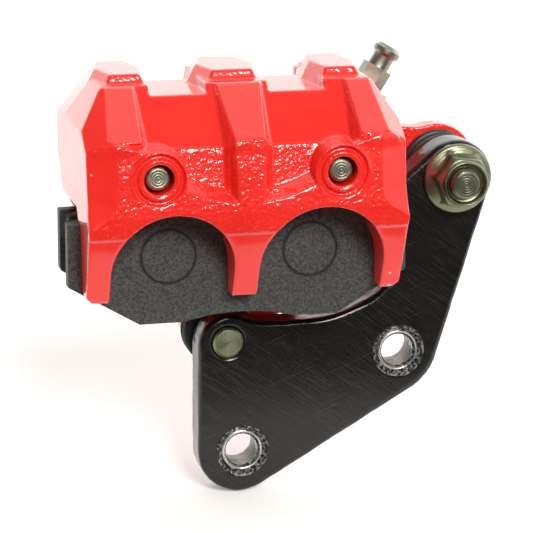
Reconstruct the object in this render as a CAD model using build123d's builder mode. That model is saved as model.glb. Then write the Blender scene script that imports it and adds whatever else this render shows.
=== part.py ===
from build123d import *
import math
import os

# Twin piston floating brake caliper on its slide bracket. Millimetres.
# +X runs along the disc's rim, +Z points away from the wheel centre, +Y is the axle
# direction from the outboard side to the inboard side. The origin is half way between
# the two piston axes, on the middle plane of the brake disc.

# ---- driving dimensions ----
disc_t = 4.0                 # brake disc thickness
pad_gap = 0.25               # new pad to disc, each side
friction_t = 4.5
plate_t = 3.5
piston_pitch = 36.0
piston_r = 13.5
piston_len = 20.5
bore_r = 13.55
bore_end_y = 33.5
cylinder_r = 17.4
half_w = 39.8                # body half width at the shoulders
finger_out_x = 40.0          # outer fingers' outer side at their root
tip_z = -9.5                 # finger tips
arches = ((-18.5, 15.3), (18.9, 15.7))   # milled clearance between the fingers: x, radius
arch_z = -2.0
rib_top_z = 42.3
flat_z = 39.9                # bridge flats between the ribs
plateau_z = 44.5             # raised tops of the ribs
pin_x, pin_z, pin_r = 22.7, 22.3, 3.0
nut_x, nut_z = 60.9, 12.9    # upper guide pin axis
low_x, low_z = 0.5, -27.5    # lower guide pin axis
up_pin_r, up_bore_r = 4.75, 4.80
low_pin_r, low_bore_r = 4.0, 4.05
stud_r = 4.0                 # M8 stud of the upper guide pin
br_y0, br_y1 = 4.0, 13.5     # bracket plate, outboard and inboard faces
hole1 = (4.4, -57.0)         # bracket's tapped holes
hole2 = (46.1, -32.7)
m10_minor_r = 4.35
boss_h = 1.2                 # machined bosses on the bracket's inboard face
inner_y = 11.3               # inboard half's face towards the disc
back_y = 37.0

# planes of the pads and the disc
f0 = disc_t / 2 + pad_gap            # friction face
f1 = f0 + friction_t                 # plate's friction side
f2 = f1 + plate_t                    # plate's back


def at_y(y):
    # sketch plane facing outboard at the given depth: local x = X, local y = Z
    return Plane(origin=(0, y, 0), x_dir=(1, 0, 0), z_dir=(0, -1, 0))


def on_arc(cx, cz, r, degrees):
    # point on a circle, for three point arcs
    return (cx + r * math.cos(math.radians(degrees)), cz + r * math.sin(math.radians(degrees)))


def half(points):
    # closed outline from its right half, mirrored about x = 0
    return points + [(-x, z) for x, z in reversed(points)]


# ---- caliper body: one casting ----
w_floor = Plane(origin=(0, -17.9, 28.9), x_dir=(1, 0, 0),
                z_dir=(0, -0.7534, 0.6575))     # floor of the windows, leaning back
bleed_top = Vector(47.1, 31.0, 37.7)             # middle of the bleed hexagon's top
bleed_dir = Vector(0.518, 0.0, 0.8554)
seat = bleed_top - bleed_dir * 5.6
bleed_plane = Plane(origin=seat, x_dir=(0, 1, 0), z_dir=bleed_dir)
port_x, port_y, port_top = 30.3, 27.6, 39.4

with BuildPart() as caliper_body:
    # outboard leg and bridge: side profile across the full width
    with BuildSketch(Plane.YZ) as leg_side:
        with BuildLine():
            Polyline(
                (-f2 - 0.02, tip_z), (-15.6, tip_z), (-16.5, -8.4), (-22.5, 7.5),
                (-23.9, 13.5), (-22.9, 24.0), (-21.7, 31.0), (-8.0, 42.0),
                (-7.0, rib_top_z), (18.5, rib_top_z), (24.0, 35.0), (24.0, 12.0),
                (-4.6, 12.2), (-6.8, 11.2), (-7.6, 9.4), (-f2 - 0.02, 9.4),
                close=True)
        make_face()
    extrude(amount=45, both=True)
    with BuildSketch(Plane.XZ) as front_outline:
        with BuildLine():
            Polyline(*half([
                (38.0, tip_z - 0.1), (39.6, tip_z + 1.6), (finger_out_x, 11.0),
                (39.7, 17.0), (half_w, 32.8), (34.6, 41.2), (33.4, rib_top_z + 0.3),
            ]), close=True)
        make_face()
    extrude(amount=40, both=True, mode=Mode.INTERSECT)
    # front corners: long facets ending above the fingers, upper facets leaning back
    for s in (1, -1):
        with BuildSketch(Plane(origin=(s * 32.75, -23.75, 15.7),
                               x_dir=(s * 0.881, 0.399, 0.2535),
                               z_dir=(s * 0.311, -0.893, 0.322))):
            with BuildLine():
                Polyline((-20, 0), (30, 0), (30, -40 * s), (-20, -40 * s), close=True)
            make_face()
        extrude(amount=45, dir=(s * 0.0162, 0.1264, 0.9916), mode=Mode.SUBTRACT)
        with BuildSketch(Plane(origin=(s * 35.17, -16.32, 34.48), x_dir=(0, 0.8237, 0.567),
                               z_dir=(s * 0.5687, -0.4664, 0.6775))):
            Rectangle(120, 120)
        extrude(amount=40, mode=Mode.SUBTRACT)
    # inboard half
    with BuildSketch(at_y(inner_y)) as inboard_outline:
        with BuildLine():
            Polyline(*half([
                (35.0, -2.0), (35.6, 6.0), (38.6, 10.0), (39.4, 14.0), (half_w, 25.0),
                (half_w, 32.8), (34.6, 41.2), (33.4, rib_top_z),
            ]), close=True)
        make_face()
        SlotCenterToCenter(piston_pitch, 2 * cylinder_r)
    extrude(amount=-(back_y - inner_y))
    # steep rear slope, then a ledge over the cylinders
    with BuildSketch(Plane.YZ) as roof_cut:
        with BuildLine():
            Polyline((18.4, rib_top_z + 0.1), (31.6, 23.5), (33.5, 21.0), (39.5, 18.6), (60, 18.6),
                     (60, 60), (18.4, 60), close=True)
        make_face()
    extrude(amount=60, both=True, mode=Mode.SUBTRACT)
    # facets of the upper corners and of the rear corners
    for s in (1, -1):
        with BuildSketch(Plane(origin=(s * 39.75, 25.8, 30.1), x_dir=(0, 0.983, -0.182),
                               z_dir=(s * 0.821, 0.104, 0.561))):
            Rectangle(120, 120)
        extrude(amount=40, mode=Mode.SUBTRACT)
        with BuildSketch(Plane.XY.offset(-19)) as rear_corner:
            with BuildLine():
                Polyline((s * 40.2, 21.0), (s * 39.2, 27.0), (s * 31.0, 37.5),
                         (s * 46, 37.5), (s * 46, 21.0), close=True)
            make_face()
        extrude(amount=64, mode=Mode.SUBTRACT)
        with BuildSketch(Plane(origin=(s * 39.4, 17.0, 12.5), x_dir=(0, 1, 0),
                               z_dir=(s * 0.55, 0.62, -0.56))):
            Rectangle(60, 18)
        extrude(amount=12, mode=Mode.SUBTRACT)
    # waist between the cylinders on the back face
    with BuildSketch(at_y(back_y + 1)) as waist:
        with Locations((0, 1.0)):
            SlotOverall(30, 10, rotation=90)
    extrude(amount=6.0, mode=Mode.SUBTRACT)
    # flats between the ribs, over the bridge, with the valleys running down behind
    for s, low_edge, top_edge in ((1, 25.7, 26.9), (-1, 24.5, 25.7)):
        with BuildSketch(Plane.YZ.offset(s * 14.9)) as valley:
            with BuildLine():
                Polyline((-24, flat_z), (13.0, flat_z), (29.5, 20.5), (46, 19.0),
                         (46, 60), (-24, 60), close=True)
            make_face()
        extrude(amount=7.1, both=True, mode=Mode.SUBTRACT)
        # windows: machined flats leaning back between the ribs
        with BuildSketch(w_floor) as window:
            with BuildLine():
                Polyline((s * 5.9, -0.3), (s * low_edge, -0.3), (s * top_edge, 19.6),
                         (s * 6.2, 19.6), close=True)
            make_face()
        extrude(amount=9, taper=-27, mode=Mode.SUBTRACT)
        # rough pockets under the windows
        with BuildSketch(at_y(-18.3)) as pocket:
            with BuildLine():
                Polyline((s * 5.9, 29.4), (s * 5.9, 18.9), (s * 8.5, 19.3), (s * 15.0, 21.6),
                         (s * 15.7, 24.8), (s * 17.5, 27.4), (s * 19.8, 28.9),
                         (s * 21.5, 29.4), close=True)
            make_face()
        extrude(amount=9, taper=-27, mode=Mode.SUBTRACT)
        # round bosses of the pad pins
        with Locations(Plane(origin=(s * pin_x, -17.0, pin_z), x_dir=(1, 0, 0),
                             z_dir=(0, -1, 0))):
            Cone(7.6, 6.9, 6.5, align=(Align.CENTER, Align.CENTER, Align.MIN))
        with BuildSketch(Plane(origin=(s * pin_x, -25.0, pin_z), x_dir=(1, 0, 0),
                               z_dir=(0, -1, 0))) as groove:
            Circle(6.3)
            Circle(5.1, mode=Mode.SUBTRACT)
        extrude(amount=-2.5, mode=Mode.SUBTRACT)
    # raised octagonal tops of the ribs
    for pts in (
        [(-5, -1.6), (5, -1.6), (7.3, 8), (4.4, 18), (-4.4, 18), (-7.3, 8)],
        [(23.5, -3), (31, -3), (33, 6.8), (31, 17), (23.7, 17), (21.9, 6.8)],
        [(-23.5, -3), (-31, -3), (-33, 6.8), (-31, 17), (-23.7, 17), (-21.9, 6.8)],
    ):
        with BuildSketch(Plane.XY.offset(plateau_z)) as top:
            with BuildLine():
                Polyline(*pts, close=True)
            make_face()
        extrude(amount=-5.2, taper=-26)
    # inlet port boss, bleed screw boss
    with BuildSketch(Plane(origin=(port_x, port_y, port_top), z_dir=(0, 0, 1))):
        Circle(7.0)
    extrude(amount=-26)
    with BuildSketch(bleed_plane):
        Circle(6.3)
    extrude(amount=-27)
    # ear of the upper guide pin with its web
    with BuildSketch(at_y(22.0)) as ear:
        with Locations((nut_x, nut_z)):
            Circle(10.6)
        with BuildLine():
            Polyline((nut_x, nut_z + 10.6), (55.5, 22.8), (50.5, 23.3), (46.5, 26.0), (40.5, 31.0),
                     (30.0, 31.0), (30.0, -8.0), (36.0, -8.0), (47.0, 3.5), (nut_x, nut_z - 10.6),
                     close=True)
        make_face()
    extrude(amount=-6)
    with BuildSketch(at_y(22.0)) as ear_web:
        with BuildLine():
            Polyline((56.5, 19.5), (50.5, 23.3), (46.5, 26.0), (40.5, 31.0), (30.0, 31.0),
                     (30.0, -6.0), (36.0, -6.0), (56.5, 8.0), close=True)
        make_face()
    extrude(amount=-10)
    with Locations(Plane(origin=(nut_x, 27.0, nut_z), x_dir=(1, 0, 0), z_dir=(0, 1, 0))):
        Cone(8.6, 7.2, 11.0, align=(Align.CENTER, Align.CENTER, Align.MIN))
    # lower guide boss with its web
    with BuildSketch(at_y(20.0)) as low_web:
        with Locations((low_x, low_z)):
            Circle(7.6)
        with BuildLine():
            Polyline((low_x - 7.6, low_z), (-9.5, -19.0), (-15.5, -12.5), (26.0, -12.5),
                     (20.0, -24.0), (low_x + 6.0, low_z - 4.6), close=True)
        make_face()
    extrude(amount=-12.5)
    # arches milled between the fingers, over the pistons
    for arch_x, arch_r in arches:
        with BuildSketch(at_y(-9.0)) as arch:
            with Locations((arch_x, arch_z)):
                Circle(arch_r)
            with Locations((arch_x, arch_z - 15)):
                Rectangle(2 * arch_r, 30)
        extrude(amount=20, mode=Mode.SUBTRACT)
    # pocket of the pads under the bridge
    with BuildSketch(at_y(inner_y)) as pad_pocket:
        with BuildLine():
            Polyline(*half([(36.0, 5.0), (36.0, 16.5), (31.0, 26.0), (29.5, 29.2)]), close=True)
        make_face()
    extrude(amount=inner_y + f2 + 0.02, mode=Mode.SUBTRACT)
    # cylinder bores with the grooves of the seals
    for s in (1, -1):
        with Locations(Plane(origin=(s * piston_pitch / 2, bore_end_y, 0), x_dir=(1, 0, 0),
                             z_dir=(0, -1, 0))):
            Cylinder(bore_r, bore_end_y - inner_y + 1,
                     align=(Align.CENTER, Align.CENTER, Align.MIN), mode=Mode.SUBTRACT)
        with Locations(Plane(origin=(s * piston_pitch / 2, 19.3, 0), x_dir=(1, 0, 0),
                             z_dir=(0, -1, 0))):
            Cylinder(15.5, 3.8, align=(Align.CENTER, Align.CENTER, Align.MIN),
                     mode=Mode.SUBTRACT)
        with Locations(Plane(origin=(s * piston_pitch / 2, 14.1, 0), x_dir=(1, 0, 0),
                             z_dir=(0, -1, 0))):
            Cylinder(15.2, 1.8, align=(Align.CENTER, Align.CENTER, Align.MIN),
                     mode=Mode.SUBTRACT)
    # cross drilling that joins the two cylinders
    with BuildSketch(Plane.YZ.offset(-6)):
        with Locations((31.4, 0.0)):
            Circle(1.5)
    extrude(amount=12, mode=Mode.SUBTRACT)
    # inlet port, tapped, with its drilling into the right cylinder
    with BuildSketch(Plane.XY.offset(port_top)):
        with Locations((port_x, port_y)):
            Circle(m10_minor_r)
    extrude(amount=-11, mode=Mode.SUBTRACT)
    with BuildSketch(Plane.XY.offset(port_top)):
        with Locations((port_x - 1.8, port_y)):
            Circle(1.5)
    extrude(amount=-36, mode=Mode.SUBTRACT)
    # bleed screw: tapped bore, conical seat, drilling into the right cylinder
    with Locations(bleed_plane):
        Cylinder(4.0, 9.2, align=(Align.CENTER, Align.CENTER, Align.MAX), mode=Mode.SUBTRACT)
        Cylinder(1.5, 30.0, align=(Align.CENTER, Align.CENTER, Align.MAX), mode=Mode.SUBTRACT)
    # guide pin bores
    with Locations(Plane(origin=(nut_x, 35.5, nut_z), x_dir=(1, 0, 0), z_dir=(0, -1, 0))):
        Cylinder(up_bore_r, 20, align=(Align.CENTER, Align.CENTER, Align.MIN),
                 mode=Mode.SUBTRACT)
    with Locations(Plane(origin=(low_x, 30.8, low_z), x_dir=(1, 0, 0), z_dir=(0, -1, 0))):
        Cylinder(low_bore_r, 26, align=(Align.CENTER, Align.CENTER, Align.MIN),
                 mode=Mode.SUBTRACT)
    # pad pin bores, counterbored at the front, blind in the inboard half
    for s in (1, -1):
        with Locations(Plane(origin=(s * pin_x, 22.0, pin_z), x_dir=(1, 0, 0),
                             z_dir=(0, -1, 0))):
            Cylinder(pin_r + 0.03, 50, align=(Align.CENTER, Align.CENTER, Align.MIN),
                     mode=Mode.SUBTRACT)
        with Locations(Plane(origin=(s * pin_x, -16.0, pin_z), x_dir=(1, 0, 0),
                             z_dir=(0, -1, 0))):
            Cylinder(3.7, 12, align=(Align.CENTER, Align.CENTER, Align.MIN),
                     mode=Mode.SUBTRACT)
caliper_body.part.label = "caliper_body"
export_step(caliper_body.part, "parts/caliper_body.step")

# ---- bracket: thick plate with two tapped holes ----
with BuildPart() as bracket:
    with BuildSketch(at_y(br_y0)) as plate:
        with BuildLine():
            Line((70.19, 10.10), (56.67, -34.79))
            ThreePointArc((56.67, -34.79), on_arc(42.4, -30.5, 14.9, -38.2), (49.86, -43.40))
            Line((49.86, -43.40), (9.62, -66.69))
            ThreePointArc((9.62, -66.69), on_arc(4.0, -57.0, 11.2, -120), (-7.2, -56.98))
            Line((-7.2, -56.98), (-7.2, -28.3))
            ThreePointArc((-7.2, -28.3), on_arc(0.9, -28.3, 8.1, 135), (0.9, -20.2))
            Spline((0.9, -20.2), (3.4, -20.75), (6.4, -21.9), (9.6, -22.6), (14.2, -22.85),
                   (19.4, -22.8), (26.1, -22.4), (31.4, -21.2), (36.8, -18.9),
                   (41.0, -16.2), (44.3, -13.2), (45.4, -9.5),
                   tangents=((1, 0), (0, 1)))
            Line((45.4, -9.5), (45.4, 10.2))
            Spline((45.4, 10.2), (47.76, 14.47), tangents=((0, 1), (0.762, 0.647)))
            Line((47.76, 14.47), (54.62, 20.29))
            ThreePointArc((54.62, 20.29), on_arc(nut_x, nut_z, 9.7, 60), (70.19, 10.10))
        make_face()
    extrude(amount=-(br_y1 - br_y0))
    # round the plate's outer edges, front and back
    fillet(bracket.faces().filter_by(Axis.Y).edges(), 1.4)
    # machined bosses around the tapped holes on the inboard face
    with BuildSketch(at_y(br_y1)) as bosses:
        with Locations(hole1, hole2):
            Circle(8.5)
    extrude(amount=-boss_h)
    # shallow spot faces, chamfer and tapping drill
    with BuildSketch(at_y(br_y0)) as spots:
        with Locations(hole1, hole2):
            Circle(6.7)
    extrude(amount=-0.35, mode=Mode.SUBTRACT)
    for hx, hz in (hole1, hole2):
        with Locations(Plane(origin=(hx, br_y0 - 1, hz), x_dir=(1, 0, 0), z_dir=(0, 1, 0))):
            Cylinder(m10_minor_r, 20, align=(Align.CENTER, Align.CENTER, Align.MIN),
                     mode=Mode.SUBTRACT)
        with Locations(Plane(origin=(hx, br_y0 + 0.35, hz), x_dir=(1, 0, 0), z_dir=(0, 1, 0))):
            Cone(5.05, m10_minor_r, 0.7, align=(Align.CENTER, Align.CENTER, Align.MIN),
                 mode=Mode.SUBTRACT)
    # holes of the guide pins
    with Locations(Plane(origin=(nut_x, br_y0 - 1, nut_z), x_dir=(1, 0, 0), z_dir=(0, 1, 0))):
        Cylinder(stud_r + 0.05, 20, align=(Align.CENTER, Align.CENTER, Align.MIN),
                 mode=Mode.SUBTRACT)
    with Locations(Plane(origin=(low_x, br_y0 - 1, low_z), x_dir=(1, 0, 0), z_dir=(0, 1, 0))):
        Cylinder(low_pin_r + 0.01, 20, align=(Align.CENTER, Align.CENTER, Align.MIN),
                 mode=Mode.SUBTRACT)
    with Locations(Plane(origin=(low_x, br_y0, low_z), x_dir=(1, 0, 0), z_dir=(0, 1, 0))):
        Cone(4.7, low_pin_r + 0.01, 0.7, align=(Align.CENTER, Align.CENTER, Align.MIN),
             mode=Mode.SUBTRACT)
bracket.part.label = "bracket"
export_step(bracket.part, "parts/bracket.step")

# ---- guide pins, nut ----
with BuildPart() as upper_guide_pin:
    with BuildSketch(Plane.XY) as prof:      # half profile: x = radius, y = depth
        with BuildLine():
            Polyline((0, -4.3), (3.2, -4.3), (stud_r, -3.5), (stud_r, br_y1), (up_pin_r, br_y1),
                     (up_pin_r, 15.4), (4.3, 15.8), (4.3, 17.0), (up_pin_r, 17.4),
                     (up_pin_r, 32.4), (3.6, 33.4), (0, 33.4), close=True)
        make_face()
    revolve(axis=Axis.Y)
upper_guide_pin.part.label = "upper_guide_pin"
upper_guide_pin.part.location = Location((nut_x, 0, nut_z))
export_step(upper_guide_pin.part, "parts/upper_guide_pin.step")

with BuildPart() as lower_guide_pin:
    with BuildSketch(Plane.XY) as prof:
        with BuildLine():
            Polyline((0, 3.7), (3.5, 3.7), (low_pin_r, 4.2), (low_pin_r, br_y1), (5.6, br_y1),
                     (5.6, 14.9), (low_pin_r, 14.9), (low_pin_r, 28.2), (3.2, 29.0), (0, 29.0),
                     close=True)
        make_face()
    revolve(axis=Axis.Y)
lower_guide_pin.part.label = "lower_guide_pin"
lower_guide_pin.part.location = Location((low_x, 0, low_z))
export_step(lower_guide_pin.part, "parts/lower_guide_pin.step")

nut_af = 12.6
with BuildPart() as flange_nut:
    # washer flange, hexagon with chamfered corners, round collar
    with BuildSketch(Plane.XY) as prof:
        with BuildLine():
            Polyline((stud_r + 0.02, br_y0), (9.1, br_y0), (9.1, br_y0 - 0.9), (7.0, br_y0 - 2.2),
                     (stud_r + 0.02, br_y0 - 2.2), close=True)
        make_face()
    revolve(axis=Axis.Y)
    with BuildSketch(at_y(br_y0 - 1.0)) as hexa:
        RegularPolygon(nut_af / 2, 6, major_radius=False, rotation=-8)
        Circle(stud_r + 0.02, mode=Mode.SUBTRACT)
    extrude(amount=5.9)
    with BuildSketch(Plane.XY) as prof2:
        with BuildLine():
            Polyline((6.1, -2.9), (7.6, -1.5), (9.5, -1.5), (9.5, -2.9), close=True)
        make_face()
    revolve(axis=Axis.Y, mode=Mode.SUBTRACT)
    with BuildSketch(Plane.XY) as prof3:
        with BuildLine():
            Polyline((stud_r + 0.02, -2.0), (5.7, -2.0), (5.7, -3.6), (5.3, -4.0), (4.7, -4.0),
                     (stud_r + 0.02, -3.2), close=True)
        make_face()
    revolve(axis=Axis.Y)
flange_nut.part.label = "flange_nut"
flange_nut.part.location = Location((nut_x, 0, nut_z))
export_step(flange_nut.part, "parts/flange_nut.step")

# ---- rubber bellows boots ----
for name, cx, cz, r_in, ro in (("upper_boot", nut_x, nut_z, 4.95, 9.5),
                               ("lower_boot", low_x, low_z, 4.20, 9.4)):
    y_a = 13.6 if name == "upper_boot" else 15.0
    y_b = 21.95 if name == "upper_boot" else 19.95
    with BuildPart() as boot:
        with BuildSketch(Plane.XY) as prof:
            with BuildLine():
                n = y_b - y_a
                Polyline(
                    (r_in, y_a), (ro - 2.0, y_a), (ro - 0.6, y_a + 0.06 * n),
                    (ro, y_a + 0.16 * n), (ro - 0.5, y_a + 0.26 * n),
                    (ro - 1.7, y_a + 0.33 * n), (ro - 0.5, y_a + 0.41 * n),
                    (ro, y_a + 0.50 * n), (ro - 0.5, y_a + 0.59 * n),
                    (ro - 1.7, y_a + 0.66 * n), (ro - 0.4, y_a + 0.74 * n),
                    (ro, y_a + 0.82 * n), (ro, y_b), (r_in, y_b), close=True)
            make_face()
        revolve(axis=Axis.Y)
    boot.part.label = name
    boot.part.location = Location((cx, 0, cz))
    export_step(boot.part, "parts/" + name + ".step")

# ---- pistons, seals, dust seals ----
for side, s in (("left", -1), ("right", 1)):
    px = s * piston_pitch / 2
    with BuildPart() as piston:
        with BuildSketch(Plane.XY) as prof:      # open cup, mouth towards the pad
            with BuildLine():
                y0 = f2 + 0.55
                Polyline((0, y0 + 17), (9.3, y0 + 17), (10.2, y0 + 15), (10.2, y0),
                         (piston_r - 0.4, y0), (piston_r, y0 + 0.4),
                         (piston_r, y0 + 1.0), (12.9, y0 + 1.3), (12.9, y0 + 2.2),
                         (piston_r, y0 + 2.5), (piston_r, y0 + piston_len - 1.2),
                         (piston_r - 1.2, y0 + piston_len), (0, y0 + piston_len), close=True)
            make_face()
        revolve(axis=Axis.Y)
    piston.part.label = "piston_" + side
    piston.part.location = Location((px, 0, 0))
    export_step(piston.part, "parts/piston_" + side + ".step")

    with BuildPart() as seal:
        with BuildSketch(Plane.XY) as prof:
            with Locations((piston_r + 0.02, 15.55)):
                Rectangle(1.95, 3.7, align=(Align.MIN, Align.MIN))
            fillet(prof.vertices(), 0.25)
        revolve(axis=Axis.Y)
    seal.part.label = "piston_seal_" + side
    seal.part.location = Location((px, 0, 0))
    export_step(seal.part, "parts/piston_seal_" + side + ".step")

    with BuildPart() as wiper:
        with BuildSketch(Plane.XY) as prof:
            with BuildLine():
                Polyline((piston_r + 0.02, 12.4), (14.2, 12.4), (14.2, 12.36), (15.15, 12.36),
                         (15.15, 14.05), (14.0, 14.05), (14.0, 13.4), (piston_r + 0.02, 13.0),
                         close=True)
            make_face()
        revolve(axis=Axis.Y)
    wiper.part.label = "dust_seal_" + side
    wiper.part.location = Location((px, 0, 0))
    export_step(wiper.part, "parts/dust_seal_" + side + ".step")

    # pad pins
    with BuildPart() as pad_pin:
        with BuildSketch(Plane.XY) as prof:
            with BuildLine():
                Polyline((0, -21.8), (2.45, -21.8), (2.95, -21.3), (2.95, -16.6), (pin_r, -16.0),
                         (pin_r, 20.0), (2.4, 20.8), (0, 20.8), close=True)
            make_face()
        revolve(axis=Axis.Y)
    pad_pin.part.label = "pad_pin_" + side
    pad_pin.part.location = Location((s * pin_x, 0, pin_z))
    export_step(pad_pin.part, "parts/pad_pin_" + side + ".step")


# ---- brake pads ----
def pad_outline(hw, inset):
    # right half of a pad's outline, from the middle of the bottom upwards
    i = inset
    return [(0.9, -15.15 + i), (7.0, -15.5 + i), (11.5, -16.4 + i), (14.6, -17.0 + i),
            (25.3 - 0.5 * i, -17.0 + i), (hw - i, -6.5 + 0.5 * i), (hw - i, 9.1 - i)]


for name, sgn, hw in (("outer", -1, 43.0), ("inner", 1, 42.2)):
    y_back = sgn * f2
    with BuildPart() as pad_plate:
        with BuildSketch(at_y(y_back)) as outline:
            with BuildLine():
                Polyline(*half(pad_outline(hw, 0) + [
                    (35.4, 9.1), (34.2, 14.4), (29.8, 19.6), (28.6, 22.3)]), close=True)
            make_face()
            with Locations((pin_x, pin_z), (-pin_x, pin_z)):
                Circle(5.9)
            with BuildLine():
                Polyline((-16.9, 20.2), (-13.6, 18.6), (13.6, 18.6), (16.9, 20.2), (16.9, 31),
                         (-16.9, 31), close=True)
            make_face(mode=Mode.SUBTRACT)
            with Locations((pin_x, pin_z), (-pin_x, pin_z)):
                Circle(3.25, mode=Mode.SUBTRACT)
        extrude(amount=sgn * plate_t)
        if sgn < 0:
            # press marks of the friction material's locking studs
            with BuildSketch(at_y(y_back)) as marks:
                with Locations((18.0, 0.0), (-18.0, 0.0)):
                    Circle(7.1)
                    Circle(6.6, mode=Mode.SUBTRACT)
            extrude(amount=-0.3, mode=Mode.SUBTRACT)
    pad_plate.part.label = name + "_pad_plate"
    export_step(pad_plate.part, "parts/" + name + "_pad_plate.step")

    with BuildPart() as friction:
        with BuildSketch(at_y(sgn * f1)) as outline:
            with BuildLine():
                Polyline(*half(pad_outline(hw - 0.5, 0.9) + [
                    (hw - 7.0, 9.4), (31.5, 12.6), (20.0, 14.8), (9.0, 16.0)]), close=True)
            make_face()
            with Locations((0, 0)):
                Rectangle(1.8, 60, mode=Mode.SUBTRACT)
        extrude(amount=sgn * friction_t)
        with BuildSketch(at_y(sgn * f1)) as web:
            with Locations((0, 0.3)):
                Rectangle(1.8, 30.0)
        extrude(amount=sgn * 1.4)
    friction.part.label = name + "_pad_friction"
    export_step(friction.part, "parts/" + name + "_pad_friction.step")

# insulating shim between the pistons and the inner pad
with BuildPart() as pad_shim:
    with BuildSketch(at_y(f2)) as outline:
        with BuildLine():
            Polyline(*half([(12.0, -15.2), (24.5, -15.2), (36.0, -8.0), (36.0, 7.6),
                            (24.0, 14.6), (8.0, 15.6)]), close=True)
        make_face()
    extrude(amount=-0.5)
pad_shim.part.label = "pad_shim"
export_step(pad_shim.part, "parts/pad_shim.step")

# ---- anti-rattle spring: thin leaf under the bridge, pressing on the pads ----
with BuildPart() as pad_spring:
    with BuildSketch(Plane.XZ) as leaf:
        with BuildLine():
            Polyline((-16.0, 21.4), (-14.0, 19.2), (-8.5, 27.0), (-3.0, 28.9), (3.0, 28.9),
                     (8.5, 27.0), (14.0, 19.2), (16.0, 21.4))
        trace(line_width=0.4)
    extrude(amount=8.0, both=True)
pad_spring.part.label = "pad_spring"
export_step(pad_spring.part, "parts/pad_spring.step")

# ---- bleed screw ----
with BuildPart() as bleed_screw:
    with BuildSketch(Plane.XZ) as prof:          # x = radius, y = along the screw
        with BuildLine():
            Polyline((0, -14.2), (1.2, -14.2), (2.6, -12.4), (3.1, -12.0), (3.1, -11.0),
                     (3.95, -10.2), (3.95, -5.55), (3.95, -5.0), (0, -5.0), close=True)
        make_face()
    revolve(axis=Axis.Z)
    with BuildSketch(Plane.XY.offset(-5.5)) as hexagon:
        RegularPolygon(3.55, 6, major_radius=False, rotation=4)
    extrude(amount=5.5)
    with BuildSketch(Plane.XZ) as prof:
        with BuildLine():
            Polyline((0, -0.5), (2.85, -0.5), (2.85, 3.3), (3.7, 4.1), (3.7, 5.2), (2.6, 6.3),
                     (0, 6.3), close=True)
        make_face()
    revolve(axis=Axis.Z)
    with BuildSketch(Plane.XY.offset(6.3)):
        Circle(0.9)
    extrude(amount=-15.0, mode=Mode.SUBTRACT)
bleed_screw.part.label = "bleed_screw"
bleed_screw.part.location = Location(Plane(origin=bleed_top, x_dir=(0, 1, 0), z_dir=bleed_dir))
export_step(bleed_screw.part, "parts/bleed_screw.step")
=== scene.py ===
import math

import bpy
import numpy as np
from mathutils import Matrix, Vector, noise


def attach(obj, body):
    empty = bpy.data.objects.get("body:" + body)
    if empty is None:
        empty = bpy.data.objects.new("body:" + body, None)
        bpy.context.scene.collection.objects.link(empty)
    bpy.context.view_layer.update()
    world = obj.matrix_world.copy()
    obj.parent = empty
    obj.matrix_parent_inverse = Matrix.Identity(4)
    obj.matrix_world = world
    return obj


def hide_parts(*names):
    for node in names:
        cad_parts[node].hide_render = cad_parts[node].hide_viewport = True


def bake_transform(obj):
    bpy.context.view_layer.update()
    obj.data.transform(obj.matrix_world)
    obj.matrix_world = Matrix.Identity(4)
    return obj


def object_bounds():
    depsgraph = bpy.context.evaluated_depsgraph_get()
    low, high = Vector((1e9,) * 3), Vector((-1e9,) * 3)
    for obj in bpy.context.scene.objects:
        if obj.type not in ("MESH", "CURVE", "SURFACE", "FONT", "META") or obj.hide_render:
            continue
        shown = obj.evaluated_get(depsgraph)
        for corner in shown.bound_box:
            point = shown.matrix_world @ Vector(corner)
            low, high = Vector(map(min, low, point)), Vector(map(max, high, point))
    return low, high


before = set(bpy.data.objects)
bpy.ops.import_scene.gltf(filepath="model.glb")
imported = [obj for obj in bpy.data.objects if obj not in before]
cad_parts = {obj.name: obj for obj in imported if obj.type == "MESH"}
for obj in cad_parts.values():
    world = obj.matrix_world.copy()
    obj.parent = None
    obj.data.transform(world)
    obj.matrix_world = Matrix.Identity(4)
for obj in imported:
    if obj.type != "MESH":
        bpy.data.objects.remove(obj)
cad_lo, cad_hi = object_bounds()
scene = bpy.context.scene
MM = 0.001

NUT = (60.9, 12.9)
LOW = (0.5, -27.5)
HOLES = ((4.4, -57.0), (46.1, -32.7))
PINS = ((-22.7, 22.3), (22.7, 22.3))


# ---------------------------------------------------------------- node helpers
def new_material(name):
    m = bpy.data.materials.new(name)
    m.use_nodes = True
    nt = m.node_tree
    return m, nt, nt.nodes["Principled BSDF"]


def node(nt, kind, **inputs):
    n = nt.nodes.new(kind)
    for k, v in inputs.items():
        if k in n.inputs:
            n.inputs[k].default_value = v
        else:
            setattr(n, k, v)
    return n


def coords(nt, scale=(1, 1, 1), rotation=(0, 0, 0), location=(0, 0, 0)):
    tc = nt.nodes.new("ShaderNodeTexCoord")
    mp = nt.nodes.new("ShaderNodeMapping")
    mp.inputs["Scale"].default_value = scale
    mp.inputs["Rotation"].default_value = rotation
    mp.inputs["Location"].default_value = location
    nt.links.new(tc.outputs["Object"], mp.inputs["Vector"])
    if any(rotation):
        # turn first, stretch afterwards
        mp.inputs["Scale"].default_value = (1, 1, 1)
        m2 = nt.nodes.new("ShaderNodeMapping")
        m2.inputs["Scale"].default_value = scale
        nt.links.new(mp.outputs["Vector"], m2.inputs["Vector"])
        return m2.outputs["Vector"]
    return mp.outputs["Vector"]


def noise_tex(nt, vec, scale, detail=2.0, rough=0.5, distortion=0.0):
    n = nt.nodes.new("ShaderNodeTexNoise")
    n.inputs["Scale"].default_value = scale
    n.inputs["Detail"].default_value = detail
    n.inputs["Roughness"].default_value = rough
    n.inputs["Distortion"].default_value = distortion
    nt.links.new(vec, n.inputs["Vector"])
    return n.outputs["Fac"]


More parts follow.
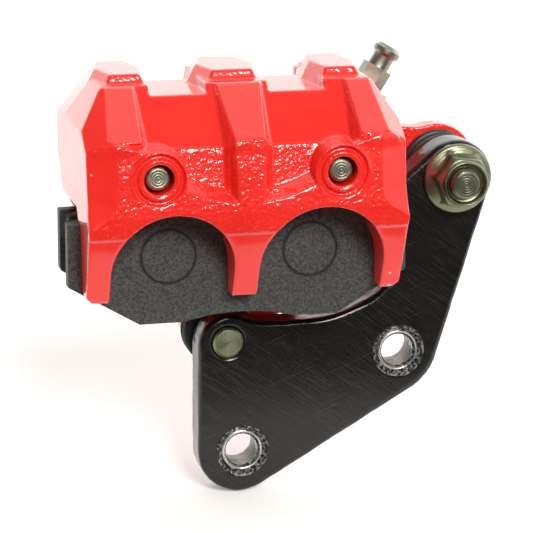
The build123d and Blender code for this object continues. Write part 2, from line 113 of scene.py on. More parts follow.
def ramp(nt, fac, stops):
    r = nt.nodes.new("ShaderNodeValToRGB")
    while len(r.color_ramp.elements) < len(stops):
        r.color_ramp.elements.new(0.5)
    for e, (p, c) in zip(r.color_ramp.elements, stops):
        e.position = p
        e.color = (c, c, c, 1) if isinstance(c, (int, float)) else (*c, 1)
    nt.links.new(fac, r.inputs["Fac"])
    return r.outputs["Color"]


def math_node(nt, op, a, b=None, clamp=False):
    n = nt.nodes.new("ShaderNodeMath")
    n.operation = op
    n.use_clamp = clamp
    for i, v in enumerate((a, b)):
        if v is None:
            continue
        if isinstance(v, (int, float)):
            n.inputs[i].default_value = v
        else:
            nt.links.new(v, n.inputs[i])
    return n.outputs[0]


def bump(nt, height, strength, distance, normal=None):
    b = nt.nodes.new("ShaderNodeBump")
    b.inputs["Distance"].default_value = distance
    if isinstance(strength, (int, float)):
        b.inputs["Strength"].default_value = strength
    else:
        nt.links.new(strength, b.inputs["Strength"])
    nt.links.new(height, b.inputs["Height"])
    if normal is not None:
        nt.links.new(normal, b.inputs["Normal"])
    return b.outputs["Normal"]


def mix_color(nt, fac, a, b):
    n = nt.nodes.new("ShaderNodeMix")
    n.data_type = "RGBA"
    for sock, v in ((n.inputs[0], fac), (n.inputs[6], a), (n.inputs[7], b)):
        if isinstance(v, tuple):
            sock.default_value = (*v, 1)
        elif isinstance(v, (int, float)):
            sock.default_value = v
        else:
            nt.links.new(v, sock)
    return n.outputs[2]


# ---------------------------------------------------------------- materials
def make_red():
    m, nt, p = new_material("red_paint")
    vec = coords(nt)
    at = node(nt, "ShaderNodeAttribute", attribute_name="cast")
    cast = at.outputs["Fac"]
    wear = node(nt, "ShaderNodeAttribute", attribute_name="wear").outputs["Fac"]
    # paint colour, with a little darker red in fine random specks over the cast skin
    blot = noise_tex(nt, vec, 55.0, 3.0, 0.6)
    base = mix_color(nt, ramp(nt, blot, ((0.35, 0.0), (0.7, 1.0))), (0.85, 0.019, 0.012), (0.91, 0.027, 0.018))
    fine = noise_tex(nt, vec, 2300.0, 2.0, 0.5)
    base2 = mix_color(nt, math_node(nt, "MULTIPLY", ramp(nt, fine, ((0.3, 1.0), (0.5, 0.0))), math_node(nt, "MULTIPLY", cast, 0.35)),
                      base, (0.50, 0.006, 0.004))
    # bare alloy where the paint has chipped
    chipn = noise_tex(nt, vec, 900.0, 3.0, 0.6)
    chip = ramp(nt, math_node(nt, "ADD", math_node(nt, "MULTIPLY", wear, 0.62), math_node(nt, "MULTIPLY", chipn, 0.5)), ((0.60, 0.0), (0.64, 1.0)))
    col = mix_color(nt, chip, base2, (0.42, 0.41, 0.40))
    nt.links.new(col, p.inputs["Base Color"])
    peel = noise_tex(nt, vec, 1450.0, 1.0, 0.5, 0.5)
    mid = noise_tex(nt, vec, 800.0, 1.0, 0.5, 0.3)
    h = math_node(nt, "ADD", math_node(nt, "MULTIPLY", peel, 0.7), math_node(nt, "MULTIPLY", mid, 0.6))
    n1 = bump(nt, h, math_node(nt, "MULTIPLY", cast, 0.85), 0.00019)
    soft = noise_tex(nt, vec, 130.0, 2.0, 0.5)
    n2 = bump(nt, soft, 0.10, 0.0003, n1)
    nt.links.new(n2, p.inputs["Normal"])
    nt.links.new(ramp(nt, blot, ((0.2, 0.30), (0.8, 0.40))), p.inputs["Roughness"])
    p.inputs["Specular IOR Level"].default_value = 0.22
    p.inputs["Coat Weight"].default_value = 1.0
    p.inputs["Coat Roughness"].default_value = 0.06
    nt.links.new(n2, p.inputs["Coat Normal"])
    return m


def make_bracket():
    m, nt, p = new_material("bracket_black")
    # brushed scratches run from the upper left to the lower right of the plate
    s1 = noise_tex(nt, coords(nt, (110, 200, 3000), (0, math.radians(-35), 0)), 1.0, 3.0, 0.65)
    s2 = noise_tex(nt, coords(nt, (210, 200, 4800), (0, math.radians(-43), 0)), 1.0, 2.0, 0.6)
    s3 = noise_tex(nt, coords(nt, (60, 200, 1900), (0, math.radians(22), 0), (0.3, 0, 0.1)), 1.0, 1.0, 0.5)
    patch = noise_tex(nt, coords(nt), 45.0, 3.0, 0.6)
    lines = ramp(nt, s1, ((0.48, 0.0), (0.72, 1.0)))
    lines2 = ramp(nt, s2, ((0.52, 0.0), (0.74, 1.0)))
    lines3 = ramp(nt, s3, ((0.69, 0.0), (0.74, 1.0)))
    total = math_node(nt, "ADD", math_node(nt, "MULTIPLY", lines, 0.6), math_node(nt, "MULTIPLY", lines2, 0.4))
    total = math_node(nt, "MULTIPLY", total, ramp(nt, patch, ((0.34, 0.35), (0.66, 1.0))))
    total = math_node(nt, "ADD", total, math_node(nt, "MULTIPLY", lines3, 0.3), clamp=True)
    edge = node(nt, "ShaderNodeAttribute", attribute_name="cast").outputs["Fac"]
    flat = math_node(nt, "SUBTRACT", 1.0, edge, clamp=True)
    amount = math_node(nt, "MULTIPLY", total, flat)
    blot = noise_tex(nt, coords(nt), 60.0, 4.0, 0.6)
    dark = mix_color(nt, ramp(nt, blot, ((0.35, 0.0), (0.75, 1.0))), (0.0048, 0.0041, 0.0035), (0.0080, 0.0070, 0.0060))
    col = mix_color(nt, math_node(nt, "MULTIPLY", amount, 0.38), dark, (0.092, 0.086, 0.078))
    nt.links.new(col, p.inputs["Base Color"])
    p.inputs["Metallic"].default_value = 0.0
    rough = math_node(nt, "ADD", math_node(nt, "MULTIPLY", amount, 0.05), 0.17)
    nt.links.new(rough, p.inputs["Roughness"])
    p.inputs["Specular IOR Level"].default_value = 0.38
    p.inputs["Coat Weight"].default_value = 0.18
    p.inputs["Coat Roughness"].default_value = 0.10
    nh = math_node(nt, "ADD", s1, math_node(nt, "MULTIPLY", s2, 0.8))
    n1 = bump(nt, nh, math_node(nt, "MULTIPLY", flat, 0.5), 0.00006)
    pit = noise_tex(nt, coords(nt), 1500.0, 3.0, 0.6)
    n2 = bump(nt, pit, 0.3, 0.00005, n1)
    nt.links.new(n2, p.inputs["Normal"])
    nt.links.new(n2, p.inputs["Coat Normal"])
    return m


def make_spot():
    # the rough ring left by the cutter round a tapped hole, painted over
    m, nt, p = new_material("spot_face_black")
    vec = coords(nt)
    g = noise_tex(nt, vec, 1150.0, 2.0, 0.6, 0.4)
    nt.links.new(mix_color(nt, ramp(nt, g, ((0.46, 0.0), (0.62, 1.0))), (0.014, 0.013, 0.012), (0.26, 0.265, 0.26)), p.inputs["Base Color"])
    p.inputs["Metallic"].default_value = 0.6
    p.inputs["Roughness"].default_value = 0.24
    p.inputs["Specular IOR Level"].default_value = 0.6
    nt.links.new(bump(nt, g, 1.0, 0.0004), p.inputs["Normal"])
    return m


def make_zinc(name, base, dark, rough=(0.22, 0.42), axis=None, rings=0.0):
    m, nt, p = new_material(name)
    vec = coords(nt)
    n = noise_tex(nt, vec, 260.0, 4.0, 0.65)
    big = noise_tex(nt, vec, 90.0, 2.0, 0.5)
    f = math_node(nt, "ADD", math_node(nt, "MULTIPLY", n, 0.6), math_node(nt, "MULTIPLY", big, 0.4))
    nt.links.new(mix_color(nt, ramp(nt, f, ((0.38, 0.0), (0.62, 1.0))), dark, base), p.inputs["Base Color"])
    p.inputs["Metallic"].default_value = 1.0
    nt.links.new(ramp(nt, n, ((0.3, rough[0]), (0.7, rough[1]))), p.inputs["Roughness"])
    grain = noise_tex(nt, vec, 1500.0, 2.0, 0.6)
    nb = bump(nt, grain, 0.35, 0.00006)
    if axis:
        tc = coords(nt, location=(-axis[0] * MM, 0, -axis[1] * MM))
        sep = nt.nodes.new("ShaderNodeSeparateXYZ")
        nt.links.new(tc, sep.inputs[0])
        r = math_node(nt, "SQRT", math_node(nt, "ADD", math_node(nt, "POWER", math_node(nt, "ABSOLUTE", sep.outputs["X"]), 2.0),
                                            math_node(nt, "POWER", math_node(nt, "ABSOLUTE", sep.outputs["Z"]), 2.0)))
        wave = math_node(nt, "SINE", math_node(nt, "MULTIPLY", r, 9500.0))
        nb = bump(nt, wave, rings, 0.00006, nb)
    nt.links.new(nb, p.inputs["Normal"])
    return m


def ring_mask(nt, vec, cx, cz, r, width):
    # 1 on a circle about an axis along Y, in mm, fading to 0 over the given width
    sep = nt.nodes.new("ShaderNodeSeparateXYZ")
    nt.links.new(vec, sep.inputs[0])
    dx = math_node(nt, "SUBTRACT", sep.outputs["X"], cx * MM)
    dz = math_node(nt, "SUBTRACT", sep.outputs["Z"], cz * MM)
    d = math_node(nt, "SQRT", math_node(nt, "ADD", math_node(nt, "MULTIPLY", dx, dx), math_node(nt, "MULTIPLY", dz, dz)))
    e = math_node(nt, "ABSOLUTE", math_node(nt, "SUBTRACT", d, r * MM))
    return math_node(nt, "SUBTRACT", 1.0, math_node(nt, "DIVIDE", e, width * MM), clamp=True)


def make_pad():
    m, nt, p = new_material("pad_backing")
    vec = coords(nt)
    g1 = noise_tex(nt, vec, 2700.0, 1.0, 0.6)
    g2 = noise_tex(nt, vec, 1500.0, 1.0, 0.6)
    g = math_node(nt, "ADD", math_node(nt, "MULTIPLY", g1, 0.6), math_node(nt, "MULTIPLY", g2, 0.4))
    tone = mix_color(nt, ramp(nt, g, ((0.38, 0.0), (0.66, 1.0))), (0.020, 0.020, 0.019), (0.082, 0.084, 0.078))
    # painted shade: a dark ring of radius 6.85 mm about x = ±18 mm is mixed into the colour, standing in for the shade
    # inside the ring grooves
    rings = math_node(nt, "MAXIMUM", ring_mask(nt, vec, -18.0, 0.0, 6.85, 0.62), ring_mask(nt, vec, 18.0, 0.0, 6.85, 0.62))
    tone = mix_color(nt, math_node(nt, "MULTIPLY", rings, 0.95), tone, (0.006, 0.006, 0.006))
    nt.links.new(tone, p.inputs["Base Color"])
    p.inputs["Roughness"].default_value = 0.55
    p.inputs["Specular IOR Level"].default_value = 0.4
    nt.links.new(bump(nt, g, 0.9, 0.00018), p.inputs["Normal"])
    return m


def make_friction():
    m, nt, p = new_material("friction")
    vec = coords(nt)
    g = noise_tex(nt, vec, 520.0, 5.0, 0.7)
    specks = noise_tex(nt, vec, 1100.0, 1.0, 0.5)
    c1 = mix_color(nt, ramp(nt, g, ((0.4, 0.0), (0.65, 1.0))), (0.020, 0.019, 0.018), (0.065, 0.060, 0.055))
    nt.links.new(mix_color(nt, ramp(nt, specks, ((0.66, 0.0), (0.70, 1.0))), c1, (0.30, 0.24, 0.15)), p.inputs["Base Color"])
    p.inputs["Roughness"].default_value = 0.85
    nt.links.new(bump(nt, g, 0.7, 0.0003), p.inputs["Normal"])
    return m


def make_rubber(name, tone, rough=0.42):
    m, nt, p = new_material(name)
    vec = coords(nt)
    g = noise_tex(nt, vec, 400.0, 4.0, 0.6)
    nt.links.new(mix_color(nt, ramp(nt, g, ((0.35, 0.0), (0.7, 1.0))), (tone, tone, tone * 1.05), (tone * 1.9, tone * 1.9, tone * 2.0)), p.inputs["Base Color"])
    nt.links.new(ramp(nt, g, ((0.3, rough - 0.06), (0.7, rough + 0.1))), p.inputs["Roughness"])
    nt.links.new(bump(nt, g, 0.2, 0.0001), p.inputs["Normal"])
    return m


def make_plain_metal(name, base, rough, scale=(40, 40, 700)):
    m, nt, p = new_material(name)
    g = noise_tex(nt, coords(nt, scale), 3.0, 4.0, 0.6)
    d = tuple(c * 0.72 for c in base)
    nt.links.new(mix_color(nt, ramp(nt, g, ((0.3, 0.0), (0.7, 1.0))), d, base), p.inputs["Base Color"])
    p.inputs["Metallic"].default_value = 1.0
    nt.links.new(ramp(nt, g, ((0.3, rough), (0.7, rough + 0.14))), p.inputs["Roughness"])
    nt.links.new(bump(nt, g, 0.25, 0.00006), p.inputs["Normal"])
    return m


RED = make_red()
BLACK = make_bracket()
SPOT = make_spot()
ZINC_BASE, ZINC_DARK = (0.40, 0.41, 0.29), (0.23, 0.24, 0.15)
ZINC_NUT = make_zinc("zinc_nut", (0.27, 0.28, 0.19), (0.16, 0.17, 0.105), (0.29, 0.42), NUT, 0.10)
ZINC_PIN_UP = make_zinc("zinc_pin_upper", (0.38, 0.38, 0.29), (0.22, 0.22, 0.16), (0.26, 0.42), NUT, 0.5)
ZINC_PIN_LOW = make_zinc("zinc_pin_lower", (0.36, 0.38, 0.245), (0.255, 0.275, 0.17), (0.26, 0.40), LOW, 0.35)
ZINC_PADS = [make_zinc("zinc_pad_pin_%d" % i, (0.62, 0.64, 0.49), (0.38, 0.40, 0.29), (0.28, 0.46), p, 0.45) for i, p in enumerate(PINS)]
BLEED = make_zinc("bleed_steel", (0.40, 0.40, 0.33), (0.25, 0.25, 0.20), (0.30, 0.46))
PAD = make_pad()
FRICTION = make_friction()
BOOT = make_rubber("boot_rubber", 0.012)
SEAL = make_rubber("seal_rubber", 0.016, 0.55)
ALU = make_plain_metal("piston_aluminium", (0.72, 0.66, 0.54), 0.26)
SPRING = make_plain_metal("spring_steel", (0.60, 0.60, 0.60), 0.24)
THREAD = make_plain_metal("bare_steel", (0.70, 0.69, 0.66), 0.22, (60, 1700, 60))


# ---------------------------------------------------------------- mesh helpers
def paint(obj, mat):
    obj.data.materials.clear()
    obj.data.materials.append(mat)


def get_co(me):
    co = np.empty(len(me.vertices) * 3, np.float64)
    me.vertices.foreach_get("co", co)
    return co.reshape(-1, 3)


def set_co(me, co):
    me.vertices.foreach_set("co", co.astype(np.float32).ravel())
    me.update()


def get_normals(me):
    no = np.empty(len(me.vertices) * 3, np.float32)
    me.vertex_normals.foreach_get("vector", no)
    return no.reshape(-1, 3).astype(float)


def get_edges(me):
    e = np.empty(len(me.edges) * 2, np.int32)
    me.edges.foreach_get("vertices", e)
    return e.reshape(-1, 2)


def relax(v, e, rounds, weight=None, lam=0.5):
    # rounds edges and corners: each point moves towards the mean of its neighbours
    n = len(v)
    deg = np.bincount(e[:, 0], minlength=n) + np.bincount(e[:, 1], minlength=n)
    deg = np.maximum(deg, 1)
    w = lam if weight is None else (lam * weight)[:, None]
    for _ in range(rounds):
        s = np.empty_like(v)
        for k in range(3):
            s[:, k] = (np.bincount(e[:, 0], v[e[:, 1], k], minlength=n) +
                       np.bincount(e[:, 1], v[e[:, 0], k], minlength=n))
        v = v + w * (s / deg[:, None] - v)
    return v


def spread(a, e, rounds):
    n = len(a)
    deg = np.maximum(np.bincount(e[:, 0], minlength=n) + np.bincount(e[:, 1], minlength=n), 1)
    for _ in range(rounds):
        s = np.bincount(e[:, 0], a[e[:, 1]], minlength=n) + np.bincount(e[:, 1], a[e[:, 0]], minlength=n)
        a = 0.5 * a + 0.5 * s / deg
    return a


def noise3(v, scale, offset=0.0):
    # smooth noise over points given in mm
    out = np.empty(len(v))
    f = noise.noise
    for i, p in enumerate(v * scale + offset):
        out[i] = f(p)
    return out


def remeshed(node_name, name, voxel_mm):
    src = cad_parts[node_name]
    ob = bpy.data.objects.new(name, src.data.copy())
    scene.collection.objects.link(ob)
    mod = ob.modifiers.new("remesh", "REMESH")
    mod.mode = "VOXEL"
    mod.voxel_size = voxel_mm * MM
    mod.adaptivity = 0.0
    bpy.context.view_layer.update()
    dg = bpy.context.evaluated_depsgraph_get()
    me = bpy.data.meshes.new_from_object(ob.evaluated_get(dg))
    me.name = name
    ob.modifiers.clear()
    ob.data = me
    me.polygons.foreach_set("use_smooth", [True] * len(me.polygons))
    me.update()
    return ob


def add_attr(me, name, values):
    a = me.attributes.get(name) or me.attributes.new(name, "FLOAT", "POINT")
    a.data.foreach_set("value", values.astype(np.float32))


def step(x, a, b):
    t = np.clip((x - a) / (b - a), 0, 1)
    return t * t * (3 - 2 * t)


def corners(points, cut, n=4):
    # a polyline with each inner corner rounded over the given length
    out = [points[0]]
    for a, b, c in zip(points, points[1:], points[2:]):
        a, b, c = np.array(a, float), np.array(b, float), np.array(c, float)
        la, lc = np.linalg.norm(a - b), np.linalg.norm(c - b)
        d = min(cut, 0.45 * la, 0.45 * lc)
        p, q = b + (a - b) * d / la, b + (c - b) * d / lc
        for i in range(n + 1):
            t = i / n
            out.append(tuple((1 - t) ** 2 * p + 2 * t * (1 - t) * b + t * t * q))
    out.append(points[-1])
    return out


def turned(name, prof, cx, cz, n=128, ring=False, radius=None, shift=None):
    # body of revolution about an axis along Y through (cx, cz); prof is (radius, y) in mm
    verts, faces = [], []
    th = np.arange(n) * 2 * math.pi / n
    rows = []
    for i, (r, y) in enumerate(prof):
        if r < 1e-6 and not ring:
            rows.append([len(verts)])
            verts.append((cx, y, cz))
            continue
        rr = np.full(n, r) if radius is None else radius(th, r, y, i)
        yy = np.full(n, y) if shift is None else shift(th, r, y, i)
        rows.append(list(range(len(verts), len(verts) + n)))
        verts += [(cx + a * math.cos(t), b, cz + a * math.sin(t)) for a, b, t in zip(rr, yy, th)]
    pairs = list(zip(rows, rows[1:])) + ([(rows[-1], rows[0])] if ring else [])
    for a, b in pairs:
        for k in range(n):
            j = (k + 1) % n
            if len(a) == 1 and len(b) == 1:
                continue
            if len(a) == 1:
                faces.append((a[0], b[k], b[j]))
            elif len(b) == 1:
                faces.append((a[k], b[0], a[j]))
            else:
                faces.append((a[k], b[k], b[j], a[j]))
    me = bpy.data.meshes.new(name)
    me.from_pydata([tuple(c * MM for c in v) for v in verts], [], faces)
    me.polygons.foreach_set("use_smooth", [True] * len(me.polygons))
    me.update()
    # outward normals
    import bmesh
    bm = bmesh.new()
    bm.from_mesh(me)
    bmesh.ops.recalc_face_normals(bm, faces=bm.faces)
    bm.to_mesh(me)
    bm.free()
    ob = bpy.data.objects.new(name, me)
    scene.collection.objects.link(ob)
    return ob


# ---------------------------------------------------------------- caliper casting
def unit(*v):
    v = np.array(v, float)
    return v / np.linalg.norm(v)


def build_casting():
    ob = remeshed("caliper_body", "caliper_casting", 0.27)
    me = ob.data
    v = get_co(me) / MM
    e = get_edges(me)
    v = relax(v, e, 6)
    set_co(me, v * MM)
    no = get_normals(me)
    x, y, z = v.T
    ax = np.abs(x)
    sx = np.sign(x)

    def faces_to(d, lo=0.955, hi=0.985):
        return step(no @ unit(*d), lo, hi)

    def faces_side(dx, dy, dz, lo=0.955, hi=0.985):
        u = unit(dx, dy, dz)
        return step(no[:, 0] * sx * u[0] + no[:, 1] * u[1] + no[:, 2] * u[2], lo, hi)

    window = faces_to((0, -0.7534, 0.6575)) * (ax < 28)
    slope = faces_to((0, -0.626, 0.78)) * (z > 30.3)
    top = faces_to((0, 0, 1)) * (z > 38) + faces_side(0.818, 0.05, 0.57, 0.93, 0.97) * (z > 28)
    facet_a = faces_side(0.311, -0.893, 0.322) + faces_side(0.384, -0.917, 0.111) + faces_side(0.5687, -0.4664, 0.6775)
    finger = (no[:, 1] < -0.85) * (no[:, 2] < -0.25) * (z < 9)
    sides = (np.abs(no[:, 0]) > 0.93) * (ax > 37.5)
    arch = np.zeros(len(v))
    for cx, r in ((-18.5, 15.3), (18.9, 15.7)):
        d = np.hypot(x - cx, z + 2.0)
        arch = np.maximum(arch, (np.abs(d - r) < 0.8) * (y < -9) * (np.abs(no[:, 1]) < 0.5))
    machined = np.clip(window + slope + top + np.clip(facet_a, 0, 1) + finger + sides + arch, 0, 1)
    # hidden mating surfaces stay plain too
    inside = ((y > -10.6) & (y < 11.6) & (ax < 36.5) & (z < 30)).astype(float)
    bores = np.zeros(len(v))
    for cx in (-18.0, 18.0):
        bores = np.maximum(bores, (np.hypot(x - cx, z) < 16.5) * (y > 10.5) * (y < 34.2))
    bores = np.maximum(bores, (np.hypot(x - NUT[0], z - NUT[1]) < 5.6))
    bores = np.maximum(bores, (np.hypot(x - LOW[0], z - LOW[1]) < 5.0))
    bores = np.maximum(bores, (np.hypot(x - 30.3, y - 27.6) < 7.3) * (z > 38.9))
    for cx, cz in PINS:
        bores = np.maximum(bores, (np.hypot(x - cx, z - cz) < 4.1))
    machined = np.clip(machined + inside + bores, 0, 1)
    flat = np.maximum(step(-no[:, 1], 0.90, 0.97), 0.55)       # texture is strongest on the open faces
    cast = spread((1 - machined) * flat, e, 3)
    add_attr(me, "cast", cast)
    # rings round the pad pins' bosses, and the lip where the cast face ends over the fingers
    front = step(-no[:, 1], 0.80, 0.95)
    dy = np.zeros(len(v))
    for cx, cz in PINS:
        r = np.hypot(x - cx, z - cz)
        bead = np.exp(-((r - 4.6) / 0.36) ** 2)
        dy -= 0.16 * bead * front
    lip = step(z, 7.5, 8.3) * (1 - step(z, 9.5, 14.0)) * step(-no[:, 1], 0.6, 0.85) * (y < -20.5)
    dy -= 0.60 * lip
    # the cast skin stands a little proud where the machined slopes of the ribs start
    brow = step(z, 27.2, 30.0) * (1 - step(z, 30.5, 31.1)) * step(-no[:, 1], 0.5, 0.8) * (y < -20.0) * ((ax < 7.0) + (ax > 25.5))
    k = brow > 0.01
    brow[k] *= 1 + 0.6 * noise3(v[k], 0.45, 17.0)
    dy -= 0.42 * brow
    v[:, 1] += dy
    # chips on corners that get knocked
    wear = np.zeros(len(v))
    for c, r in (((-36.0, -21.5, 35.3), 2.0), ((-33.0, -4.0, 43.9), 2.2), ((-31.4, -6.3, 42.6), 1.6), ((-38.8, -20.5, 23.8), 1.1),
                 ((34.5, -16.0, -9.4), 1.9), ((37.2, -16.2, -9.3), 1.6), ((36.8, -17.6, -5.5), 0.9), ((31.0, -16.5, 44.0), 1.0),
                 ((-39.6, -15.8, 2.0), 0.9)):
        d = np.linalg.norm(v - np.array(c), axis=1)
        wear = np.maximum(wear, 1 - np.clip(d / r, 0, 1))
    add_attr(me, "wear", wear)
    # the rough pockets lean back a little
    deep = step(-y, 17.4, 17.9) * np.clip((y + 23.3) / 5.0, 0, 1) * (ax < 22.5) * (ax > 5.0) * step(z, 17.0, 18.5) * (z < 28.95)
    for cx, cz in PINS:
        deep *= step(np.hypot(x - cx, z - cz), 6.6, 7.9)
    v[:, 1] -= 0.19 * (28.9 - np.clip(z, 17.0, 28.9)) * deep
    # cast skin: fine dimples over a slow swell
    k = cast > 0.02
    dis = np.zeros(len(v))
    dis[k] = 0.135 * noise3(v[k], 1.25) + 0.05 * noise3(v[k], 1.9, 31.0) + 0.10 * noise3(v[k], 0.20, 7.0)
    v = v + no * (dis * cast * (1 - 0.25 * deep))[:, None]
    set_co(me, v * MM)
    paint(ob, RED)
    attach(ob, "caliper")
    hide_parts("caliper_body")
    return ob


def build_bracket():
    ob = remeshed("bracket", "bracket_plate", 0.4)
    me = ob.data
    v = get_co(me) / MM
    e = get_edges(me)
    v = relax(v, e, 5)
    # the countersunk spot faces of the tapped holes are pieces of their own
    for cx, cz in HOLES:
        r = np.hypot(v[:, 0] - cx, v[:, 2] - cz)
        v[:, 1] = np.where((r < 6.6) & (v[:, 1] < 5.8), 5.8, v[:, 1])
    # open the tapped holes to the thread's major radius: the threads are pieces of their own
    for cx, cz in HOLES:
        dx, dz = v[:, 0] - cx, v[:, 2] - cz
        r = np.hypot(dx, dz) + 1e-9
        push = 0.62 * (1 - step(r, 4.6, 6.2)) * step(v[:, 1], 4.2, 5.2) * (1 - step(v[:, 1], 13.9, 14.6))
        push = np.where(r < 6.2, push, 0)
        v[:, 0] += dx / r * push
        v[:, 2] += dz / r * push
    set_co(me, v * MM)
    no = get_normals(me)
    # blanked edge: slightly uneven roll-over along the rim
    rim = 1 - step(np.abs(no[:, 1]), 0.80, 0.985)
    k = rim > 0.02
    d = np.zeros(len(v))
    d[k] = 0.11 * noise3(v[k], 0.22, 3.0) + 0.05 * noise3(v[k], 0.7, 11.0)
    for cx, cz in HOLES + (NUT, LOW):
        d *= step(np.hypot(v[:, 0] - cx, v[:, 2] - cz), 5.0, 6.8)
    v = v + no * (d * rim)[:, None]
    set_co(me, v * MM)
    add_attr(me, "cast", rim)
    paint(ob, BLACK)
    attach(ob, "bracket")
    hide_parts("bracket")
    # internal threads
    for i, (cx, cz) in enumerate(HOLES):
        pitch, y0, y1 = 1.25, 4.75, 14.55
        rows = 120
        prof = [(4.4, y0 + (y1 - y0) * k / rows) for k in range(rows + 1)] + [(5.35, y1), (5.35, y0)]

        def radius(th, r, y, idx):
            if idx > rows:
                return np.full(len(th), r)
            t = (y / pitch - th / (2 * math.pi)) % 1.0
            tri = np.abs(2 * t - 1)
            fade = min(1.0, (y - y0) / 0.7, (y1 - y) / 0.7)
            return 4.36 + 0.56 * np.clip(tri * 1.25 - 0.12, 0, 1) * fade + 0.5 * (1 - fade)
        rim_prof = [(4.28, 5.35), (4.28, 5.9), (7.0, 5.9), (7.0, 4.2), (6.86, 3.86), (6.55, 3.86), (6.3, 4.25)]
        rim_ob = turned("spot_face_%s" % ("lower", "upper")[i], corners(rim_prof, 0.1, 2), cx, cz, 160, True,
                        lambda th, r, y, idx: np.full(len(th), r))
        paint(rim_ob, SPOT)
        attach(rim_ob, "bracket")
        th_ob = turned("thread_%s" % ("lower", "upper")[i], prof, cx, cz, 120, True, radius)
        paint(th_ob, THREAD)
        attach(th_ob, "bracket")


def build_boots():
    for name, (cx, cz), r_in, ro, y_a, y_b in (("upper_boot", NUT, 5.0, 9.5, 13.62, 21.95),
                                               ("lower_boot", LOW, 4.25, 9.4, 15.0, 19.95)):
        n = y_b - y_a
        outer = [(ro - 2.1, y_a), (ro - 0.5, y_a + 0.02 * n), (ro, y_a + 0.10 * n), (ro - 0.3, y_a + 0.22 * n),
                 (ro - 2.2, y_a + 0.33 * n), (ro - 0.5, y_a + 0.43 * n), (ro - 0.1, y_a + 0.51 * n), (ro - 0.5, y_a + 0.59 * n),
                 (ro - 2.2, y_a + 0.69 * n), (ro - 0.3, y_a + 0.79 * n), (ro, y_a + 0.88 * n), (ro - 0.4, y_b)]
        prof = [(r_in, y_a)] + corners(outer, 0.5, 4) + [(r_in, y_b)]
        m = 12
        prof += [(r_in, y_b - (y_b - y_a) * k / m) for k in range(1, m)]
        ob = turned(name + "_bellows", prof, cx, cz, 112, True)
        paint(ob, BOOT)
        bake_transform(ob)
        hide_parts(name)


def hex_radius(th, flat, turn):
    a = (th - math.radians(turn) + math.pi / 6) % (math.pi / 3) - math.pi / 6
    return flat / np.cos(a)


def build_nut():
    af2, turn = 6.3, -8 + 30
    base = [(4.05, 4.0), (9.1, 4.0), (9.1, 3.25), (8.75, 2.75), (7.0, 1.85)]
    hexrows = [(7.28, y) for y in (1.6, 0.9, 0.2, -0.5, -1.2, -1.7)] + [(6.98, -2.05), (6.6, -2.4), (6.32, -2.62), (6.08, -2.72)]
    collar = [(5.95, -2.8), (5.92, -3.4), (5.72, -3.82), (5.35, -3.86), (5.05, -3.45), (4.75, -2.9), (4.05, -2.8)]
    prof = corners(base, 0.35, 4)
    nb = len(prof)
    prof += hexrows
    nh = len(prof)
    prof += corners(collar, 0.18, 3)
    prof += [(4.05, -1.0), (4.05, 1.5)]

    def radius(th, r, y, i):
        if nb <= i < nh:
            h = hex_radius(th, af2, turn)
            # soft minimum rounds the hexagon's edges and the chamfer's arcs
            k = 0.10
            return -k * np.log(np.exp(-h / k) + np.exp(-r / k))
        return np.full(len(th), r)
    ob = turned("nut", prof, *NUT, n=360, ring=True, radius=radius)
    paint(ob, ZINC_NUT)
    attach(ob, "bracket")
    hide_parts("flange_nut")


def soften(node_name, mat, width=0.2, segments=3, angle=32):
    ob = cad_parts[node_name]
    paint(ob, mat)
    w = ob.modifiers.new("weld", "WELD")
    w.merge_threshold = 1e-6
    b = ob.modifiers.new("edges", "BEVEL")
    b.width = width * MM
    b.segments = segments
    b.limit_method = "ANGLE"
    b.angle_limit = math.radians(angle)
    b.harden_normals = False
    b.miter_outer = "MITER_ARC"
    b.use_clamp_overlap = True


build_casting()
build_bracket()
build_boots()
build_nut()
for n, m, w in (("outer_pad_plate", PAD, 0.35), ("inner_pad_plate", PAD, 0.35), ("outer_pad_friction", FRICTION, 0.2),
                ("inner_pad_friction", FRICTION, 0.2), ("upper_guide_pin", ZINC_PIN_UP, 0.25), ("lower_guide_pin", ZINC_PIN_LOW, 0.25),
                ("pad_pin_left", ZINC_PADS[0], 0.2), ("pad_pin_right", ZINC_PADS[1], 0.2), ("bleed_screw", BLEED, 0.18),
                ("piston_left", ALU, 0.15), ("piston_right", ALU, 0.15), ("pad_shim", SPRING, 0.06), ("pad_spring", SPRING, 0.05)):
    soften(n, m, w)
for n in ("piston_seal_left", "piston_seal_right", "dust_seal_left", "dust_seal_right"):
    paint(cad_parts[n], SEAL)

# ---------------------------------------------------------------- stage, light, camera
floor_z = (cad_lo.z / MM - 0.3) * MM


def make_floor():
    me = bpy.data.meshes.new("floor")
    n = 40
    size = 3.0
    verts, faces = [], []
    for j in range(n + 1):
        for i in range(n + 1):
            verts.append((-size + 2 * size * i / n, -0.071 + (size + 0.071) * j / n, floor_z))
    for j in range(n):
        for i in range(n):
            a = j * (n + 1) + i
            faces.append((a, a + 1, a + n + 2, a + n + 1))
    me.from_pydata(verts, [], faces)
    ob = bpy.data.objects.new("floor", me)
    scene.collection.objects.link(ob)
    m, nt, p = new_material("floor_white")
    p.inputs["Base Color"].default_value = (0.93, 0.93, 0.925, 1)
    p.inputs["Roughness"].default_value = 0.9
    p.inputs["Specular IOR Level"].default_value = 0.1
    ob.data.materials.append(m)
    p.inputs["Emission Color"].default_value = (1.0, 0.99, 0.98, 1.0)
    p.inputs["Emission Strength"].default_value = 0.20


make_floor()


# direction, full width (degrees), faded width (degrees), brightness
SOFTBOXES = (
    ((-0.66, 0.22, 0.71), 20, 32, -1.05),
    ((0.80, 0.47, 0.36), 16, 27, 1.5),
    ((0.85, -0.50, 0.25), 14, 26, 0.9),
    ((0.08, -0.86, 0.52), 9.0, 12.0, 30.0),
    ((0.05, 0.99, 0.12), 24, 50, 0.36),
)

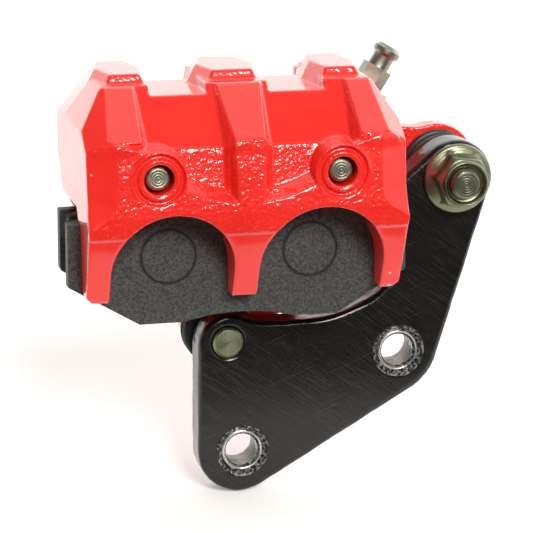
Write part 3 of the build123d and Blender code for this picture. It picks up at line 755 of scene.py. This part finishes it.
world = bpy.data.worlds.new("studio")
scene.world = world
world.use_nodes = True
nt = world.node_tree
nt.nodes.clear()
out = nt.nodes.new("ShaderNodeOutputWorld")
tc = nt.nodes.new("ShaderNodeTexCoord")
sep = nt.nodes.new("ShaderNodeSeparateXYZ")
nt.links.new(tc.outputs["Generated"], sep.inputs[0])


def vec_dot(d):
    n = nt.nodes.new("ShaderNodeVectorMath")
    n.operation = "DOT_PRODUCT"
    nt.links.new(tc.outputs["Generated"], n.inputs[0])
    n.inputs[1].default_value = Vector(d).normalized()
    return n.outputs["Value"]


def smooth(value, a, b, lo, hi):
    n = nt.nodes.new("ShaderNodeMapRange")
    n.interpolation_type = "SMOOTHSTEP"
    n.inputs["From Min"].default_value = a
    n.inputs["From Max"].default_value = b
    n.inputs["To Min"].default_value = lo
    n.inputs["To Max"].default_value = hi
    nt.links.new(value, n.inputs["Value"])
    return n.outputs["Result"]


# white sweep behind the object, dark room on the camera's side, softboxes as bright patches
total = smooth(sep.outputs["Y"], -0.32, -0.02, 0.10, 1.24)
for d, inner, outer, power in SOFTBOXES:
    lobe = smooth(vec_dot(d), math.cos(math.radians(outer)), math.cos(math.radians(inner)), 0.0, power)
    total = math_node(nt, "ADD", total, lobe)
back = total
lp = nt.nodes.new("ShaderNodeLightPath")
bg1 = nt.nodes.new("ShaderNodeBackground")
bg2 = nt.nodes.new("ShaderNodeBackground")
bg2.inputs["Color"].default_value = (1, 1, 1, 1)
bg2.inputs["Strength"].default_value = 1.0
bg1.inputs["Color"].default_value = (1.0, 0.985, 0.955, 1)
nt.links.new(back, bg1.inputs["Strength"])
mx = nt.nodes.new("ShaderNodeMixShader")
nt.links.new(lp.outputs["Is Camera Ray"], mx.inputs["Fac"])
nt.links.new(bg1.outputs[0], mx.inputs[1])
nt.links.new(bg2.outputs[0], mx.inputs[2])
nt.links.new(mx.outputs[0], out.inputs["Surface"])

scene.view_settings.view_transform = "Standard"
scene.view_settings.look = "None"
scene.view_settings.exposure = 0.0
scene.view_settings.gamma = 1.0

cam = bpy.data.cameras.new("camera")
cam.sensor_width = 36.0
cam.lens = 163.99
cam.clip_start, cam.clip_end = 0.01, 50.0
cam_ob = bpy.data.objects.new("camera", cam)
scene.collection.objects.link(cam_ob)
fwd = Vector((0.2336, 0.9383, -0.2552)).normalized()
up = Vector((0.0558, 0.2490, 0.9669))
up = (up - fwd * up.dot(fwd)).normalized()
right = fwd.cross(up).normalized()
cam_ob.matrix_world = Matrix(((right.x, up.x, -fwd.x, -0.13425),
                              (right.y, up.y, -fwd.y, -0.57723),
                              (right.z, up.z, -fwd.z, 0.15026),
                              (0, 0, 0, 1)))
scene.camera = cam_ob
